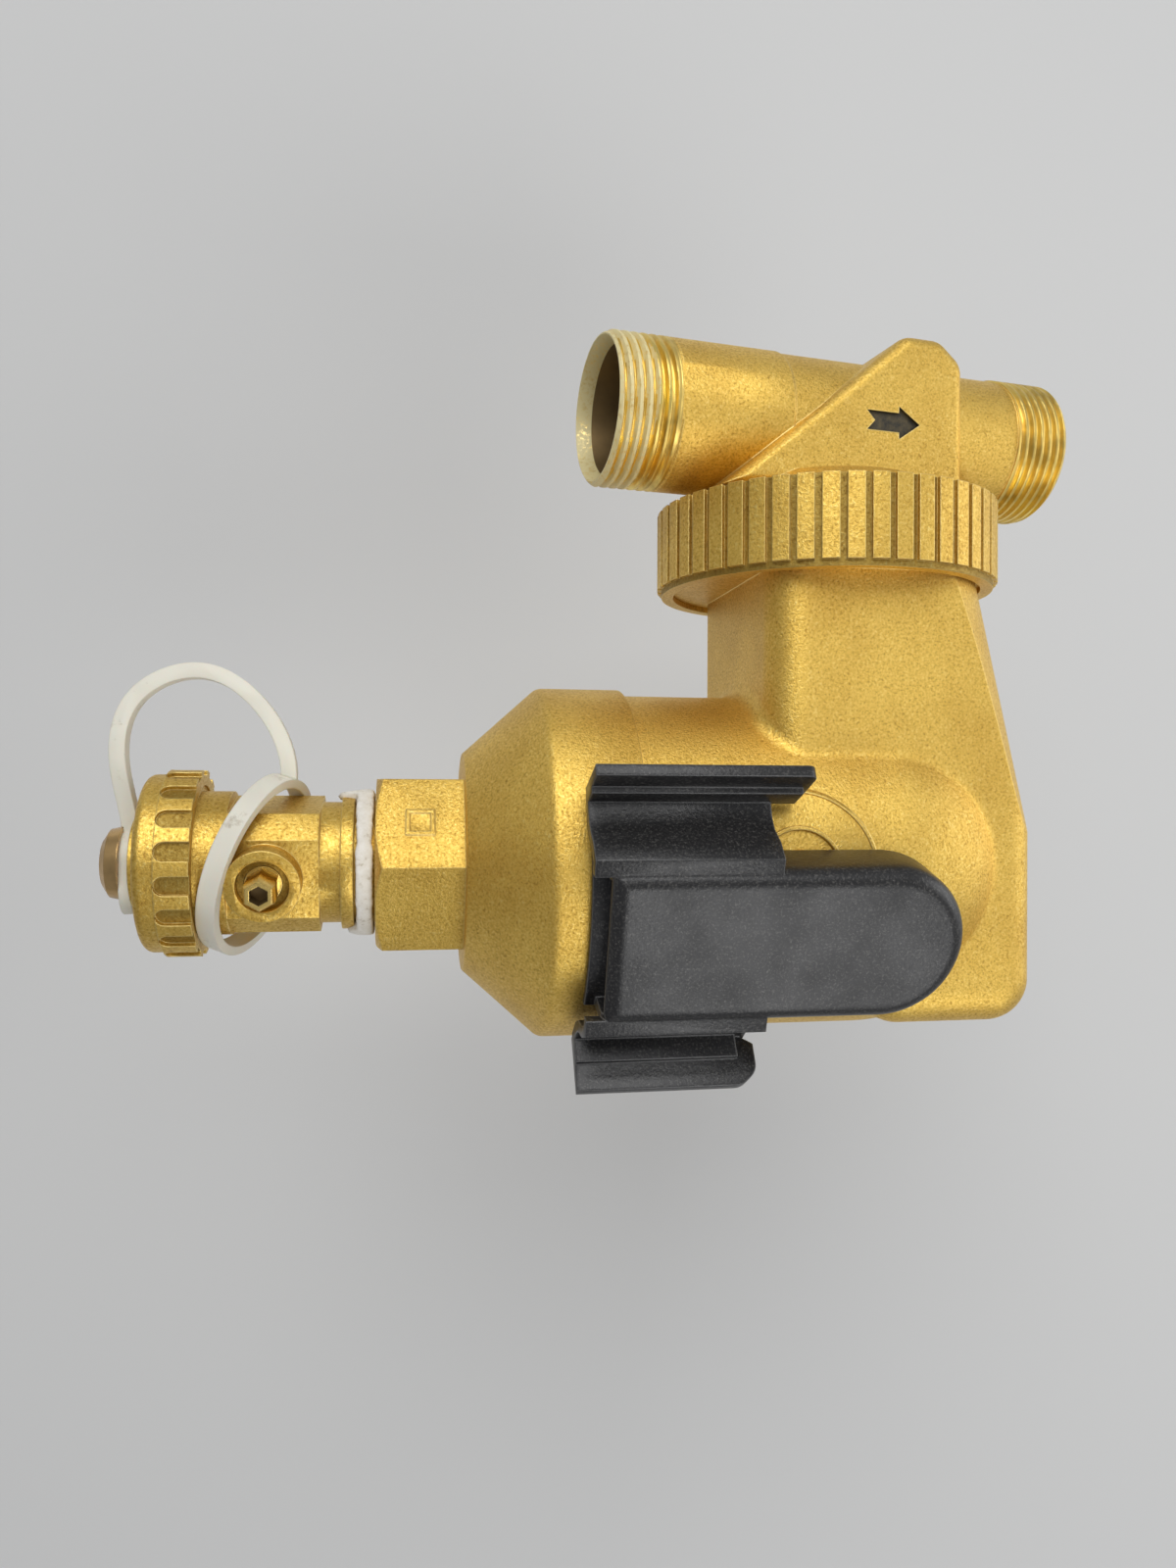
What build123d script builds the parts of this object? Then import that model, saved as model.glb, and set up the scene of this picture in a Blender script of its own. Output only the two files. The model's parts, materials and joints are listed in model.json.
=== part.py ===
"""Magnetic dirt separator with a swivelling pipe tee, a magnet holder and a drain cock. Sizes are in mm.

The body axis is Z with the drain down. The tee lies on the -X side and the magnet holder faces -Y.
"""
import math
import os
from build123d import *

# Clearances
running_clearance = 0.06
assembly_clearance = 0.05
face_clearance = 0.1
magnet_air_gap = 0.3

# Pipe tee
thread_r = 13.22
thread_len = 11.0
tee_half_len = 44.5
tee_tube_r = 12.9
tee_bore_r = 11.15
mouth_r = 12.3
mouth_depth = 2.6
socket_depth = 20.0
passage_r = 10.0
tee_turn = 8.13
tee_to_axis = 79.4
wedge_half = 14.4
wedge_corner_r = 4.0
wedge_edge_r = 2.4
wedge_top = 14.6
wedge_peak_left = 9.0
wedge_peak_right = 16.0
wedge_right = 20.8
wedge_foot_left = -26.0
wedge_foot_gap = 0.8
collar_height = 3.2
collar_rise_r = 4.7
roof_gap = 0.5
socket_wall = 2.2
socket_len = 8.0
port_inset = 0.9
port_wall = 2.6
outlet_port_r = 7.0
inlet_port_r = 4.8
arrow_depth = 0.6
arrow_len = 10.6
arrow_head_len = 4.2
arrow_head_half = 2.9
arrow_shaft_half = 1.7
arrow_notch = 1.6
arrow_z = 5.9
arrow_x = 1.6

# Swivel union
nut_z = 44.65
nut_wall = 3.0
nut_height = 15.0
nut_bottom_x = -48.9
nut_rim = 1.1
nut_grooves = 48
groove_width = 1.2
groove_depth = 0.8
flange_wall = 3.6
flange_face_x = -58.0
spigot_r = 24.2
spigot_end_x = -52.6
spigot_wall = 3.7
split_ring_thick = 1.85
split_ring_proud = 2.4
split_ring_depth = 1.2
split_ring_gap = 5.0
seal_width = 2.4
seal_depth = 1.7
seal_inset = 2.0

# Body
body_r = 29.6
body_wall = 4.0
joint_z = 5.0
dome_z = 47.9
slab_half = 22.9
slab_left_z = 27.5
slab_right_z = 75.3
slab_bottom_x = 27.0
slab_knee_x = 12.0
slab_knee_drop = 12.0
slab_turn_x = -14.0
blend_r = 3.0
neck_inset = 1.0
neck_flare = 0.2
neck_top_x = -51.0
flange_back_x = -50.0
slab_edge_r = 6.0
neck_bore_r = 14.0
web_x = -30.0
web_port_r = 1.9
web_port_ring_r = 11.8
web_ports = 8
emblem_z = 29.6
emblem_r = 13.2
emblem_ring_r = 6.6
emblem_core_r = 3.2
emblem_step = 0.35

# Bowl
band_step = 1.05
bowl_spigot_inset = 2.95
shoulder_z = -9.3
shoulder_fillet = 2.5
cone_run = 11.65
cone_foot_z = -22.2
boss_end_z = -36.9
boss_flats = 28.8
boss_chamfer = 0.8
bowl_wall = 4.0
ledge_width = 2.5
cavity_floor = 2.0
spigot_wall_bowl = 3.1
bowl_seal_up = 3.5
spigot_len = 10.0
mark_size = 4.8
mark_line = 0.7
mark_height = 0.3
mark_z = -29.6

# Mesh insert
cage_r = 17.0
cage_wall = 1.6
cage_top_z = 42.0
cage_foot_z = -4.0
cage_foot_thick = 1.5
cage_slots = 6
cage_slot_width = 8.0

# Flow tube
flow_tube_r = 8.6
flow_tube_wall = 1.5
flow_tube_end_x = -20.0
flow_collar_r = 9.6
flow_collar_thick = 1.5

# Drain cock
cock_thread_r = 10.48
cock_thread_end_z = -26.0
cock_bore_r = 6.0
ring_r = 11.5
ring_top_z = -40.5
ring_bottom_z = -42.6
cock_neck_r = 10.4
block_top_z = -46.0
block_bottom_z = -60.8
block_side = 20.5
block_chamfer = 3.6
tail_r = 12.2
tail_thread_r = 13.15
tail_thread_top_z = -66.0
tail_end_z = -72.0
tape_r = 12.9

# Drain ball and spindle
spindle_turn = 12.5
spindle_z = -54.6
ball_r = 7.8
ball_bore_r = 5.0
cavity_r = 8.2
seat_start = 3.6
seat_len = 5.0
retainer_thick = 3.0
boss_ring_r = 6.0
boss_ring_top = 14.3
gland_bore_top = 12.6
spindle_r = 3.0
spindle_hex = 6.6
spindle_hex_top = 16.4
spindle_tip_r = 2.5
spindle_tip_top = 19.0
tip_slot = 1.4
tip_slot_depth = 1.6
gland_r = 4.2

# Drain cap
cap_r = 15.0
cap_lug_r = 15.8
cap_lugs = 18
cap_slot_width = 3.1
cap_slot_depth = 0.9
cap_end_z = -74.6
cap_boss_r = 8.0
cap_boss_z = -76.5
cap_step_z = -71.0
cap_open_z = -65.6
cap_wall_end = 1.5
cap_rim_r = 1.4
washer_hole_r = 4.6
rivet_r = 2.9
rivet_head_r = 6.3
rivet_head_z = -78.5
rivet_tip_z = -81.7
rivet_foot_r = 4.2

# Strap
strap_thick = 1.6
strap_width = 3.4
loop_thick = 2.6
collar_in_r = 14.3
collar_rise = -9.0
collar_run = 25.5
collar_lean = 0.31
collar_z = -57.0
tab_half = 5.0
tab_low_x = 8.6
tab_high_x = -5.6
loop_reach = 32.6
loop_drop = 5.0
loop_lift = 4.6
loop_round = 5.0
loop_dip = 2.4
loop_entry = 3.3

# Magnet holder
holder_turn = 18.0
pocket_half = 12.8
pocket_rise = 6.45
pocket_wall = 1.8
pocket_reach = 20.0
pocket_start_z = -2.4
pocket_arc_z = 42.3
pocket_edge_r = 3.0
back_lip_z = -4.1
back_thick = 1.2
arm_thick = 1.8
arm_gap = 1.2
valley_angle = 32.2
fin_angle = 40.0
fin_len = 9.0
rib_len = 4.6
rib_angle = 1.6
rib_step = 1.0
arm_start_z = -4.9
arm_end_z = 23.9
long_fin_end_z = 29.0
short_fin_end_z = 21.8
keeper_thick = 1.2
keeper_inset = 1.4
keeper_start = 2.0
magnet_count = 3
magnet_thick = 2.0
magnet_inset = 1.6
magnet_len = 13.0
magnet_gap = 1.5

nut_top_x = nut_bottom_x - nut_height
nut_lip_x = flange_face_x - face_clearance - split_ring_thick - assembly_clearance
body_in_r = body_r - body_wall
spigot_socket_r = spigot_r + running_clearance
nut_r = spigot_r + flange_wall + nut_wall
flange_r = spigot_r + flange_wall
spigot_bore_r = spigot_r - spigot_wall
split_ring_r = spigot_r + split_ring_proud
neck_r = flange_r - neck_inset
band_r = body_r + band_step
bowl_spigot_r = body_r - bowl_spigot_inset
cone_foot_r = band_r - cone_run
pocket_face = band_r + magnet_air_gap + pocket_rise
collar_out_r = collar_in_r + strap_thick
keeper_half = pocket_half - pocket_wall - keeper_inset


def rod_z(radius, z0, z1):
    """Cylinder on the body axis from z0 up to z1."""
    return Pos(0, 0, z0) * Cylinder(radius, z1 - z0, align=(Align.CENTER, Align.CENTER, Align.MIN))


def rod_x(radius, x0, x1):
    """Cylinder on the swivel axis from x0 to x1."""
    rod = Cylinder(radius, x1 - x0, align=(Align.CENTER, Align.CENTER, Align.MIN))
    return Pos(x0, 0, nut_z) * Rot(0, 90, 0) * rod


def rod_out(radius, y0, y1):
    """Cylinder from distance y0 to y1 along -Y, for pieces that point at the front."""
    rod = Cylinder(radius, y1 - y0, align=(Align.CENTER, Align.CENTER, Align.MIN))
    return Pos(0, -y0, 0) * Rot(90, 0, 0) * rod


def turned(points):
    """Solid of revolution on the body axis from (radius, z) points."""
    outline = Polyline(*[(radius, 0, z) for radius, z in points], close=True)
    return revolve(make_face(outline), Axis.Z)


def plate_xz(points, half):
    """Plate in the XZ plane from (x, z) points, thick to both sides of Y = 0."""
    outline = Polyline(*[(x, 0, z) for x, z in points], close=True)
    return extrude(make_face(outline), amount=half, dir=(0, 1, 0), both=True)


tee_place = Pos(-tee_to_axis, 0, nut_z) * Rot(-tee_turn, 0, 0)
spindle_place = Pos(0, 0, spindle_z) * Rot(0, 0, spindle_turn)
holder_place = Rot(0, 0, holder_turn)
nodes = {}


def build_tee():
    """Pipe tee in its own frame: tube on Z, spigot toward +X."""
    nut_top = tee_to_axis + nut_top_x
    spigot_end = tee_to_axis + spigot_end_x
    roof = nut_top - roof_gap
    tube = rod_z(tee_tube_r, -tee_half_len, tee_half_len)
    tube += rod_z(thread_r, -tee_half_len, thread_len - tee_half_len)
    tube += rod_z(thread_r, tee_half_len - thread_len, tee_half_len)
    foot = nut_top - wedge_foot_gap
    wedge_line = [(foot, wedge_foot_left), (-wedge_top, wedge_peak_left), (-wedge_top, wedge_peak_right),
                  (wedge_corner_r - wedge_top, wedge_right), (foot, wedge_right)]
    wedge = plate_xz(wedge_line, wedge_half)
    crown = wedge.edges().filter_by(Axis.Y).sort_by(Axis.X)[0:3]
    wedge = fillet(crown, wedge_corner_r)
    rims = wedge.faces().sort_by(Axis.Y)[0].edges() + wedge.faces().sort_by(Axis.Y)[-1].edges()
    wedge = fillet(rims, wedge_edge_r)
    along_x = Rot(0, 90, 0)
    collar_top_r = spigot_r - collar_rise_r
    collar = Cone(collar_top_r, spigot_r, collar_height, align=(Align.CENTER, Align.CENTER, Align.MIN))
    collar = Pos(foot - collar_height, 0, 0) * along_x * collar
    spigot = Pos(foot, 0, 0) * along_x * Cylinder(spigot_r, spigot_end - foot,
                                                   align=(Align.CENTER, Align.CENTER, Align.MIN))
    tee = tube + wedge + collar + spigot
    cavity = Pos(roof, 0, 0) * along_x * Cylinder(spigot_bore_r, spigot_end - roof,
                                                   align=(Align.CENTER, Align.CENTER, Align.MIN))
    socket_r = flow_tube_r + magnet_air_gap
    boss = Cylinder(socket_r + socket_wall, socket_len, align=(Align.CENTER, Align.CENTER, Align.MIN))
    boss = Pos(roof, 0, 0) * along_x * boss
    socket = Cylinder(socket_r, 2 * socket_len, align=(Align.CENTER, Align.CENTER, Align.MIN))
    socket = Pos(roof, 0, 0) * along_x * socket
    tee = tee - cavity + boss - socket
    outlet_port = along_x * Cylinder(outlet_port_r, nut_top, align=(Align.CENTER, Align.CENTER, Align.MIN))
    inlet_end = -outlet_port_r - port_wall
    inlet_port_z = -spigot_bore_r + inlet_port_r + port_inset
    inlet_port = Cylinder(inlet_port_r, nut_top, align=(Align.CENTER, Align.CENTER, Align.MIN))
    inlet_port = Pos(0, 0, inlet_port_z) * along_x * inlet_port
    tee -= rod_z(passage_r, -tee_half_len, inlet_end)
    tee -= rod_z(passage_r, 0, tee_half_len)
    tee -= rod_z(tee_bore_r, -tee_half_len, socket_depth - tee_half_len)
    tee -= rod_z(tee_bore_r, tee_half_len - socket_depth, tee_half_len)
    tee -= outlet_port
    tee -= inlet_port
    mouth = Cone(mouth_r, tee_bore_r, mouth_depth, align=(Align.CENTER, Align.CENTER, Align.MIN))
    tee -= Pos(0, 0, -tee_half_len) * mouth
    tee -= Pos(0, 0, tee_half_len) * Rot(180, 0, 0) * mouth
    ring_x = tee_to_axis + nut_lip_x + assembly_clearance
    groove = Cylinder(spigot_r + 1.0, split_ring_thick)
    groove -= Cylinder(spigot_r - split_ring_depth, split_ring_thick)
    tee -= Pos(ring_x + split_ring_thick / 2, 0, 0) * along_x * groove
    seal_groove = Cylinder(spigot_r + 1.0, seal_width) - Cylinder(spigot_r - seal_depth, seal_width)
    tee -= Pos(spigot_end - seal_inset - seal_width / 2, 0, 0) * along_x * seal_groove
    tip = arrow_z + arrow_len / 2
    tail = arrow_z - arrow_len / 2
    neck = tip - arrow_head_len
    low = arrow_x + arrow_shaft_half
    high = arrow_x - arrow_shaft_half
    arrow_line = [(arrow_x, tip), (arrow_x + arrow_head_half, neck), (low, neck), (low, tail),
                  (arrow_x, tail + arrow_notch), (high, tail), (high, neck),
                  (arrow_x - arrow_head_half, neck)]
    arrow = plate_xz(arrow_line, arrow_depth)
    return tee - Pos(0, -wedge_half, 0) * arrow


def build_split_ring():
    """Split ring that sits in the spigot groove and carries the nut."""
    ring_x = nut_lip_x + assembly_clearance
    ring = rod_x(split_ring_r, ring_x, ring_x + split_ring_thick)
    ring -= rod_x(spigot_r - split_ring_depth, ring_x, ring_x + split_ring_thick)
    gap = Pos(ring_x, 0, nut_z - split_ring_r) * Box(4 * split_ring_thick, split_ring_gap, split_ring_r)
    return ring - gap


def build_swivel_seal():
    """Seal ring in the spigot groove."""
    seal_x = spigot_end_x - seal_inset - seal_width
    seal = rod_x(spigot_r, seal_x, seal_x + seal_width)
    return seal - rod_x(spigot_r - seal_depth, seal_x, seal_x + seal_width)


def build_nut():
    """Ring nut with a grooved grip, made on Z and laid along the swivel axis."""
    groove = Pos(nut_r - groove_depth / 2 + 0.5, 0) * Rectangle(groove_depth + 1.0, groove_width)
    grip = Circle(nut_r) - PolarLocations(0, nut_grooves) * groove
    nut = Pos(0, 0, nut_rim) * extrude(grip, amount=nut_height - nut_rim)
    nut += rod_z(nut_r - groove_depth, 0, nut_rim)
    nut -= rod_z(spigot_r + magnet_air_gap, 0, nut_height)
    nut -= rod_z(flange_r + running_clearance, 0, nut_bottom_x - nut_lip_x)
    return Pos(nut_bottom_x, 0, nut_z) * Rot(0, -90, 0) * nut


def build_body():
    """Body casting: cylinder, dome, flat neck and the round flange under the nut."""
    slab_line = [(neck_top_x, slab_left_z), (neck_top_x, slab_right_z), (slab_bottom_x, slab_right_z),
                 (slab_bottom_x, dome_z), (slab_knee_x, dome_z - slab_knee_drop), (slab_turn_x, slab_left_z)]
    slab = plate_xz(slab_line, slab_half)
    corner = slab.edges().filter_by(Axis.Y).sort_by(Axis.X)[-2:]
    slab = fillet(corner, slab_edge_r + 1.5)
    front = slab.faces().sort_by(Axis.Y)[0].edges()
    back = slab.faces().sort_by(Axis.Y)[-1].edges()
    rims = ShapeList([edge for edge in front + back if edge.center().X > neck_top_x + 0.1])
    slab = fillet(rims, slab_edge_r)
    flare_len = slab_bottom_x - neck_top_x
    foot_r = neck_r + neck_flare * flare_len
    neck_cone = Cone(neck_r, foot_r, flare_len, align=(Align.CENTER, Align.CENTER, Align.MIN))
    slab &= Pos(neck_top_x, 0, nut_z) * Rot(0, 90, 0) * neck_cone
    barrel = rod_z(body_r, joint_z, dome_z) + Pos(0, 0, dome_z) * Sphere(body_r)
    body = barrel + slab
    body = fillet(new_edges(barrel, slab, combined=body), blend_r)
    body += rod_x(flange_r, flange_face_x, flange_back_x)
    skin = rod_z(body_r + emblem_step, emblem_z - emblem_r, emblem_z + emblem_r)
    skin -= rod_z(body_r - 0.5, emblem_z - emblem_r, emblem_z + emblem_r)
    disc = Pos(0, 0, emblem_z) * rod_out(emblem_r, 0, 2 * body_r)
    hole = Pos(0, 0, emblem_z) * rod_out(emblem_ring_r, 0, 2 * body_r)
    core = Pos(0, 0, emblem_z) * rod_out(emblem_core_r, 0, 2 * body_r)
    body += skin & (disc - hole + core)
    body -= rod_z(body_in_r, joint_z - 1.0, dome_z)
    body -= Pos(0, 0, dome_z) * Sphere(body_in_r)
    body -= rod_z(bowl_spigot_r + assembly_clearance, joint_z - 1.0, joint_z + spigot_len + 0.5)
    body -= rod_x(spigot_socket_r, flange_face_x - 1.0, spigot_end_x + 0.5)
    body -= rod_x(neck_bore_r, flange_face_x, web_x)
    body -= rod_x(flow_tube_r + assembly_clearance, flange_face_x, 0)
    for place in PolarLocations(web_port_ring_r, web_ports):
        port = Cylinder(web_port_r, body_r, align=(Align.CENTER, Align.CENTER, Align.MIN))
        body -= Pos(web_x, 0, nut_z) * Rot(0, 90, 0) * place * port
    return body


def build_bowl():
    """Bottom bowl: band, cone and hexagon boss, with a spigot that enters the body."""
    ledge_r = bowl_spigot_r - spigot_wall_bowl - ledge_width
    cavity_foot_r = cone_foot_r - 2 * bowl_wall
    bowl = turned([(0, cone_foot_z), (cone_foot_r, cone_foot_z), (band_r, shoulder_z),
                   (band_r, joint_z), (0, joint_z)])
    shoulder = bowl.edges().filter_by(GeomType.CIRCLE).group_by(Axis.Z)[1]
    bowl = fillet(shoulder, shoulder_fillet)
    bowl += rod_z(bowl_spigot_r, joint_z, joint_z + spigot_len)
    hexagon = Rot(0, 0, 30) * RegularPolygon(boss_flats / 2, 6, major_radius=False)
    boss = Pos(0, 0, boss_end_z) * extrude(hexagon, amount=cone_foot_z - boss_end_z + 2.0)
    face_r = boss_flats / 2
    corner_r = face_r + 3.0
    boss &= turned([(0, boss_end_z), (face_r, boss_end_z), (corner_r, boss_end_z + 2 * boss_chamfer),
                    (corner_r, cone_foot_z + 2.0), (0, cone_foot_z + 2.0)])
    bowl += boss
    inner_r = bowl_spigot_r - spigot_wall_bowl
    floor_z = cone_foot_z + cavity_floor
    top_z = joint_z + spigot_len
    bowl -= turned([(0, floor_z), (cavity_foot_r, floor_z), (ledge_r, shoulder_z + 1.0),
                    (ledge_r, cage_foot_z), (inner_r, cage_foot_z), (inner_r, top_z), (0, top_z)])
    bowl -= rod_z(cock_thread_r + assembly_clearance, boss_end_z, floor_z + 1.0)
    groove_z = joint_z + bowl_seal_up
    groove = rod_z(bowl_spigot_r + 1.0, groove_z, groove_z + seal_width)
    groove -= rod_z(bowl_spigot_r - seal_depth, groove_z, groove_z + seal_width)
    bowl -= groove
    mark_hole = mark_size - 2 * mark_line
    frame = Box(mark_size, mark_height, mark_size) - Box(mark_hole, mark_height, mark_hole)
    mark = Rot(0, 0, -30) * Pos(0, -face_r - mark_height / 2, mark_z) * frame
    return bowl + mark


def build_bowl_seal():
    """Seal ring in the groove of the bowl spigot."""
    z0 = joint_z + bowl_seal_up
    seal = rod_z(bowl_spigot_r, z0, z0 + seal_width)
    return seal - rod_z(bowl_spigot_r - seal_depth, z0, z0 + seal_width)


def build_cage():
    """Slotted insert that stands on the ledge of the bowl."""
    foot_r = bowl_spigot_r - spigot_wall_bowl - assembly_clearance
    cage = rod_z(cage_r, cage_foot_z, cage_top_z)
    cage += rod_z(foot_r, cage_foot_z, cage_foot_z + cage_foot_thick)
    cage -= rod_z(cage_r - cage_wall, cage_foot_z, cage_top_z)
    slot_len = cage_top_z - cage_foot_z - cage_foot_thick - 12.0
    slot_z = cage_foot_z + cage_foot_thick + 6.0 + slot_len / 2
    for place in PolarLocations(cage_r, cage_slots):
        cage -= Pos(0, 0, slot_z) * place * Box(4 * cage_wall, cage_slot_width, slot_len)
    return cage


def build_flow_tube():
    """Tube that carries the return flow through the middle of the swivel."""
    tube = rod_x(flow_tube_r, nut_top_x, flow_tube_end_x)
    tube += rod_x(flow_collar_r, web_x - flow_collar_thick, web_x)
    return tube - rod_x(flow_tube_r - flow_tube_wall, nut_top_x, flow_tube_end_x)


def build_cock():
    """Drain cock body with the square block turned so that the spindle points to the front."""
    square = Rot(0, 0, spindle_turn) * Pos(0, 0, (block_top_z + block_bottom_z) / 2)
    block = Box(block_side, block_side, block_top_z - block_bottom_z)
    block = chamfer(block.edges().filter_by(Axis.Z), block_chamfer)
    cock = square * block
    cock += rod_z(cock_neck_r, block_top_z, ring_bottom_z)
    cock += rod_z(ring_r, ring_bottom_z, ring_top_z)
    cock += rod_z(cock_thread_r, ring_top_z, cock_thread_end_z)
    cock += rod_z(tail_r, tail_thread_top_z, block_bottom_z)
    cock += rod_z(tail_thread_r, tail_end_z, tail_thread_top_z)
    cock += spindle_place * rod_out(boss_ring_r, block_side / 2 - 1.0, boss_ring_top)
    cock -= rod_z(cock_bore_r, tail_end_z, cock_thread_end_z)
    cock -= rod_z(cavity_r, tail_end_z, spindle_z + ball_r + seat_len)
    cock -= spindle_place * rod_out(gland_r + assembly_clearance, ball_r - 0.8, boss_ring_top)
    return cock


def build_seat(side):
    """Seat ring above or below the ball."""
    z0 = spindle_z + side * seat_start
    z1 = spindle_z + side * (ball_r + seat_len)
    seat = rod_z(cavity_r - assembly_clearance, min(z0, z1), max(z0, z1))
    seat -= rod_z(ball_bore_r, min(z0, z1), max(z0, z1))
    return seat - Pos(0, 0, spindle_z) * Sphere(ball_r + running_clearance)


def build_seat_nut():
    """Plain retaining ring screwed in from the outlet under the lower seat."""
    z1 = spindle_z - ball_r - seat_len
    return rod_z(cavity_r, z1 - retainer_thick, z1) - rod_z(ball_bore_r, z1 - retainer_thick, z1)


def build_ball():
    """Ball with its bore along the body axis."""
    ball = Sphere(ball_r) - Cylinder(ball_bore_r, 3 * ball_r)
    ball -= rod_out(spindle_r + 3.0, ball_r - 0.8, ball_r + 1.0)
    return spindle_place * ball


def build_gland():
    """Gland sleeve between the boss and the spindle."""
    gland = rod_out(gland_r, ball_r + 0.4, gland_bore_top)
    gland -= rod_out(spindle_r + running_clearance, ball_r, boss_ring_top)
    return spindle_place * gland


def build_spindle():
    """Operating spindle with a hexagon and a slotted tip."""
    hex_start = gland_bore_top + face_clearance
    spindle = rod_out(spindle_r, ball_r - 0.8, hex_start)
    hexagon = RegularPolygon(spindle_hex / 2, 6, major_radius=False)
    spindle += Pos(0, -hex_start, 0) * Rot(90, 0, 0) * extrude(hexagon, amount=spindle_hex_top - hex_start)
    spindle += rod_out(spindle_tip_r, spindle_hex_top, spindle_tip_top)
    spindle -= Pos(0, -spindle_tip_top, 0) * Box(4 * spindle_tip_r, 2 * tip_slot_depth, tip_slot)
    return spindle_place * spindle


def build_tape():
    """Thread tape squeezed out between the cock and the boss."""
    tape = rod_z(tape_r, ring_top_z, boss_end_z)
    return tape - rod_z(cock_thread_r + assembly_clearance, ring_top_z, boss_end_z)


def build_cap():
    """Drain cap with a ring of lugs."""
    cap = rod_z(cap_r, cap_end_z, cap_step_z) + rod_z(cap_lug_r, cap_step_z, cap_open_z)
    rim = cap.edges().filter_by(GeomType.CIRCLE).group_by(Axis.Z)[0]
    cap = fillet(rim, cap_rim_r)
    slot_len = cap_open_z - cap_step_z
    slot = SlotOverall(2 * slot_len, cap_slot_width)
    slot = extrude(Plane.YZ * Rot(0, 0, 90) * slot, amount=cap_slot_depth + 1.0)
    slots = PolarLocations(0, cap_lugs) * (Pos(cap_lug_r - cap_slot_depth, 0, cap_open_z) * slot)
    cap -= slots
    cap += rod_z(cap_boss_r, cap_boss_z, cap_end_z)
    inner = cap_end_z + cap_wall_end
    cap -= rod_z(tail_thread_r + running_clearance, inner, cap_open_z)
    return cap - rod_z(rivet_r + running_clearance, cap_boss_z, inner)


def build_washer():
    """Sealing washer in the bottom of the cap."""
    z0 = cap_end_z + cap_wall_end
    z1 = tail_end_z - face_clearance
    return rod_z(tail_thread_r - 0.2, z0, z1) - rod_z(washer_hole_r, z0, z1)


def build_rivet():
    """Rivet that lets the cap turn under the strap."""
    inner = cap_end_z + cap_wall_end
    head = turned([(0, rivet_tip_z), (rivet_head_r - 2.2, rivet_tip_z),
                   (rivet_head_r - 0.5, rivet_tip_z + 1.1), (rivet_head_r, rivet_head_z), (0, rivet_head_z)])
    rivet = head + rod_z(rivet_r, rivet_head_z, inner + face_clearance)
    return rivet + rod_z(rivet_foot_r, inner + face_clearance, inner + face_clearance + 0.8)


def collar_plane():
    """Plane of the strap collar, leaning round the cock."""
    length = math.hypot(collar_run, collar_rise)
    along = Vector(collar_run / length, 0, collar_rise / length)
    forward = Vector(0, -math.sqrt(1 - collar_lean ** 2), -collar_lean)
    return Plane(origin=(0.3, 0, collar_z), x_dir=along, z_dir=along.cross(forward))


def build_collar():
    """Moulded collar of the strap round the cock."""
    ring = Cylinder(collar_out_r, strap_width) - Cylinder(collar_in_r, strap_width)
    return collar_plane() * ring


def build_strap():
    """Loop of the strap from the collar over to the tab under the rivet."""
    tab_top_z = cap_boss_z - face_clearance
    tab_z = (rivet_head_z + tab_top_z) / 2
    low_z = cap_end_z - loop_drop
    high_z = collar_z + loop_lift
    middle_z = (low_z + high_z) / 2
    loop = Spline((-1.0, tab_z), (-rivet_head_r, tab_z), (-cap_lug_r - strap_thick, low_z),
                  (-loop_reach + loop_round, low_z + loop_dip), (-loop_reach, middle_z),
                  (-loop_reach + loop_round, high_z - 2 * loop_dip), (-collar_in_r + loop_entry, high_z))
    band = Plane.XZ * trace(loop, loop_thick)
    strap = extrude(band, amount=strap_width / 2, dir=(0, 1, 0), both=True)
    strap -= collar_plane() * Cylinder(collar_out_r, 4 * strap_width)
    strap -= rod_z(cap_lug_r + assembly_clearance, cap_end_z - face_clearance, cap_open_z)
    strap -= rod_z(cap_boss_r + assembly_clearance, tab_top_z, cap_end_z)
    strap -= rod_z(rivet_head_r + assembly_clearance, rivet_tip_z, rivet_head_z)
    thick = tab_top_z - rivet_head_z
    tab = SlotOverall(tab_low_x - tab_high_x, 2 * tab_half)
    tab = Pos((tab_low_x + tab_high_x) / 2, 0, rivet_head_z) * extrude(tab, amount=thick)
    strap += tab
    return strap - rod_z(rivet_r + assembly_clearance, rivet_head_z, tab_top_z)


def pocket_block(half, z0):
    """Block with straight sides and a round far end, from Y = 0 toward the body."""
    outline = Pos(0, (z0 + pocket_arc_z) / 2) * Rectangle(2 * half, pocket_arc_z - z0)
    outline += Pos(0, pocket_arc_z) * Circle(half)
    return Plane.XZ * extrude(outline, amount=-pocket_reach)


def holder_point(side, radius, angle):
    """Point at a radius and at an angle from the front, on one side of the holder."""
    return (side * radius * math.sin(math.radians(angle)), -radius * math.cos(math.radians(angle)))


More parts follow.
